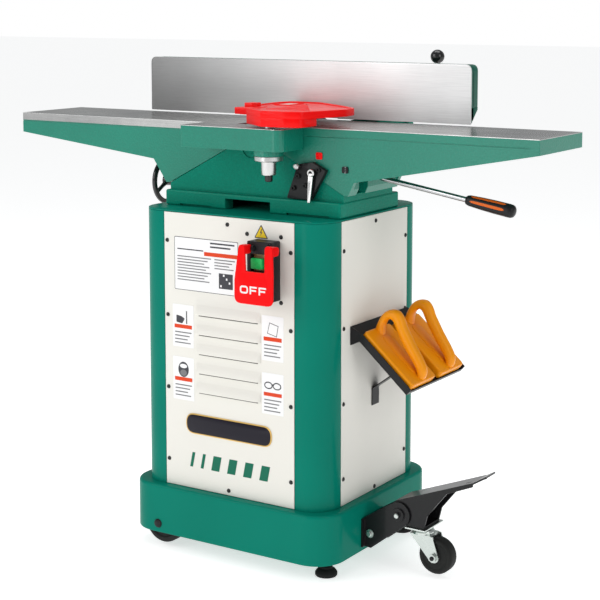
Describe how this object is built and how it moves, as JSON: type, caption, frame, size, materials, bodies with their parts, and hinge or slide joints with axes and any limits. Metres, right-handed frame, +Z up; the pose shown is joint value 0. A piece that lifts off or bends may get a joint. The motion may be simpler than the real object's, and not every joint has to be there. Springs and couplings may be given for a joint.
{
  "type": "jointer",
  "caption": "Floor-standing woodworking jointer on a closed cabinet with sloping cast tables, tilting fence, swinging cutter guard, paddle switch, push blocks and a pedal caster.",
  "frame": {"origin": "on the floor, under the middle of the overall box, which is under the middle of the tables", "axes": "+X along the tables from outfeed to infeed, +Y across them from the operator to the fence, +Z up"},
  "size_m": [1.168, 0.448, 0.9704],
  "materials": {
    "cast_green_paint": "semi-gloss textured enamel",
    "sheet_green_paint": "gloss enamel",
    "cream_paint": "satin enamel",
    "ground_iron": "ground",
    "bright_steel": "bright",
    "zinc_plate": "zinc plated",
    "black_paint": "satin enamel",
    "black_plastic": "moulded",
    "rubber": "matte",
    "red_plastic": "moulded",
    "green_button": "moulded",
    "orange_plastic": "moulded",
    "grey_paint": "satin enamel"
  },
  "bodies": {
    "body": {"plinth": "sheet_green_paint", "cabinet_shell": "sheet_green_paint", "front_panel": "cream_paint", "back_panel": "cream_paint", "left_panel": "cream_paint", "right_panel": "cream_paint", "top_plate": "sheet_green_paint", "base_casting": "cast_green_paint", "dust_port": "black_plastic", "dust_chute": "zinc_plate", "motor": "grey_paint", "motor_mount": "grey_paint", "belt_guard": "black_paint", "drive_belt": "rubber", "front_bearing_block": "grey_paint", "rear_bearing_block": "grey_paint", "switch_box": "black_plastic", "push_block_holder": "black_paint", "outrigger_bracket": "black_paint", "fence_support": "cast_green_paint", "lock_bracket": "black_paint", "transport_axle_front": "black_paint", "transport_axle_rear": "black_paint"},
    "infeed": {"infeed_table": "ground_iron", "rabbet_ledge": "ground_iron", "depth_pointer": "red_plastic"},
    "outfeed": {"outfeed_table": "ground_iron"},
    "infeed_lever": {"infeed_lever": "bright_steel", "lever_grip": "black_plastic"},
    "handwheel": {"handwheel": "black_plastic"},
    "handwheel_knob": {"handwheel_knob": "black_plastic"},
    "cutterhead": {"cutterhead": "bright_steel", "knife_1": "bright_steel", "knife_2": "bright_steel", "knife_3": "bright_steel", "cutterhead_pulley": "grey_paint"},
    "motor_pulley": {"motor_pulley": "grey_paint"},
    "guard_post": {"guard_post": "bright_steel"},
    "guard": {"cutter_guard": "red_plastic"},
    "carriage": {"fence_carriage": "cast_green_paint", "fence_hinge_rod": "bright_steel"},
    "fence": {"fence": "ground_iron", "fence_handle": "bright_steel", "fence_ball_knob": "black_plastic"},
    "fence_lock": {"fence_lock_lever": "black_paint"},
    "table_lock": {"lock_lever": "bright_steel"},
    "paddle": {"stop_paddle": "red_plastic"},
    "button": {"start_button": "green_button"},
    "block_near": {"push_block_1": "orange_plastic"},
    "block_far": {"push_block_2": "orange_plastic"},
    "pedal": {"pedal_arm": "black_paint", "caster_plate": "zinc_plate"},
    "caster_fork": {"caster_fork": "zinc_plate"},
    "caster_wheel": {"caster_wheel": "rubber"},
    "wheel_front": {"transport_wheel_front": "rubber"},
    "wheel_rear": {"transport_wheel_rear": "rubber"},
    "foot_1": {"levelling_foot_1": "rubber"},
    "foot_2": {"levelling_foot_2": "rubber"},
    "foot_3": {"levelling_foot_3": "rubber"},
    "foot_4": {"levelling_foot_4": "rubber"}
  },
  "joints": [
    {"name": "infeed_slide", "type": "slide", "parent": "body", "child": "infeed", "axis": [0.8829, 0, -0.4695], "range_m": [0, 0.027]},
    {"name": "outfeed_slide", "type": "slide", "parent": "body", "child": "outfeed", "axis": [-0.8829, 0, -0.4695], "range_m": [0, 0.005]},
    {"name": "infeed_lever_turn", "type": "hinge", "parent": "infeed", "child": "infeed_lever", "pos_m": [0.203, -0.046, 0.7575], "axis": [0, 1, 0], "range_deg": [0, 31.5]},
    {"name": "handwheel_turn", "type": "hinge", "parent": "body", "child": "handwheel", "pos_m": [-0.275, 0, 0.7], "axis": [1, 0, 0], "range_deg": [0, 1200]},
    {"name": "handwheel_knob_spin", "type": "hinge", "parent": "handwheel", "child": "handwheel_knob", "pos_m": [-0.285, 0.0379, 0.7219], "axis": [1, 0, 0], "continuous": true},
    {"name": "cutterhead_spin", "type": "hinge", "parent": "body", "child": "cutterhead", "pos_m": [0, 0, 0.8], "axis": [0, 1, 0], "continuous": true},
    {"name": "motor_pulley_spin", "type": "hinge", "parent": "body", "child": "motor_pulley", "pos_m": [0, 0.1275, 0.33], "axis": [0, 1, 0], "continuous": true},
    {"name": "guard_post_turn", "type": "hinge", "parent": "infeed", "child": "guard_post", "pos_m": [0.067, -0.14, 0.78], "axis": [0, 0, 1], "range_deg": [0, 100]},
    {"name": "guard_swing", "type": "hinge", "parent": "guard_post", "child": "guard", "pos_m": [0.067, -0.14, 0.8655], "axis": [0, 0, 1], "range_deg": [0, 75], "stiffness_Nm_per_rad": 0.6, "springref_deg": -22.92},
    {"name": "fence_slide", "type": "slide", "parent": "body", "child": "carriage", "axis": [0, -1, 0], "range_m": [0, 0.1]},
    {"name": "fence_tilt", "type": "hinge", "parent": "carriage", "child": "fence", "pos_m": [0.13, 0.1, 0.8395], "axis": [-1, 0, 0], "range_deg": [0, 45]},
    {"name": "fence_lock_turn", "type": "hinge", "parent": "carriage", "child": "fence_lock", "pos_m": [0.13, 0.2, 0.8525], "axis": [0, 0, 1], "range_deg": [-25, 60]},
    {"name": "table_lock_turn", "type": "hinge", "parent": "body", "child": "table_lock", "pos_m": [0.141, -0.11, 0.75], "axis": [0, 1, 0], "range_deg": [-40, 40]},
    {"name": "stop_paddle_press", "type": "hinge", "parent": "body", "child": "paddle", "pos_m": [0.089, -0.2007, 0.6165], "axis": [1, 0, 0], "range_deg": [0, 7], "stiffness_Nm_per_rad": 1.5, "springref_deg": -2.86},
    {"name": "start_button_press", "type": "slide", "parent": "body", "child": "button", "axis": [0, 1, 0], "range_m": [0, 0.003], "stiffness_N_per_m": 800, "springref_m": -0.001},
    {"name": "push_block_near_lift", "type": "slide", "parent": "body", "child": "block_near", "axis": [0.6604, 0, 0.7509], "range_m": [0, 0.12]},
    {"name": "push_block_far_lift", "type": "slide", "parent": "body", "child": "block_far", "axis": [0.6604, 0, 0.7509], "range_m": [0, 0.12]},
    {"name": "pedal_press", "type": "hinge", "parent": "body", "child": "pedal", "pos_m": [0.299, -0.0225, 0.1175], "axis": [0, 1, 0], "range_deg": [0, 12]},
    {"name": "caster_swivel", "type": "hinge", "parent": "pedal", "child": "caster_fork", "pos_m": [0.3335, -0.0225, 0.0975], "axis": [0, 0, 1], "continuous": true},
    {"name": "caster_wheel_spin", "type": "hinge", "parent": "caster_fork", "child": "caster_wheel", "pos_m": [0.364, -0.0225, 0.043], "axis": [0, 1, 0], "continuous": true},
    {"name": "front_wheel_spin", "type": "hinge", "parent": "body", "child": "wheel_front", "pos_m": [-0.164, -0.158, 0.0515], "axis": [0, 1, 0], "continuous": true},
    {"name": "rear_wheel_spin", "type": "hinge", "parent": "body", "child": "wheel_rear", "pos_m": [-0.164, 0.192, 0.0515], "axis": [0, 1, 0], "continuous": true},
    {"name": "foot_1_screw", "type": "slide", "parent": "body", "child": "foot_1", "axis": [0, 0, 1], "range_m": [0, 0.012]},
    {"name": "foot_2_screw", "type": "slide", "parent": "body", "child": "foot_2", "axis": [0, 0, 1], "range_m": [0, 0.012]},
    {"name": "foot_3_screw", "type": "slide", "parent": "body", "child": "foot_3", "axis": [0, 0, 1], "range_m": [0, 0.012]},
    {"name": "foot_4_screw", "type": "slide", "parent": "body", "child": "foot_4", "axis": [0, 0, 1], "range_m": [0, 0.012]}
  ],
  "couplings": [
    {"joint": "infeed_lever_turn", "follows": "infeed_slide", "rad_per_m": 20},
    {"joint": "handwheel_turn", "follows": "outfeed_slide", "rad_per_m": 4000},
    {"joint": "motor_pulley_spin", "follows": "cutterhead_spin", "ratio": 0.5778},
    {"joint": "guard_post_turn", "follows": "fence_slide", "rad_per_m": 17.45}
  ]
}
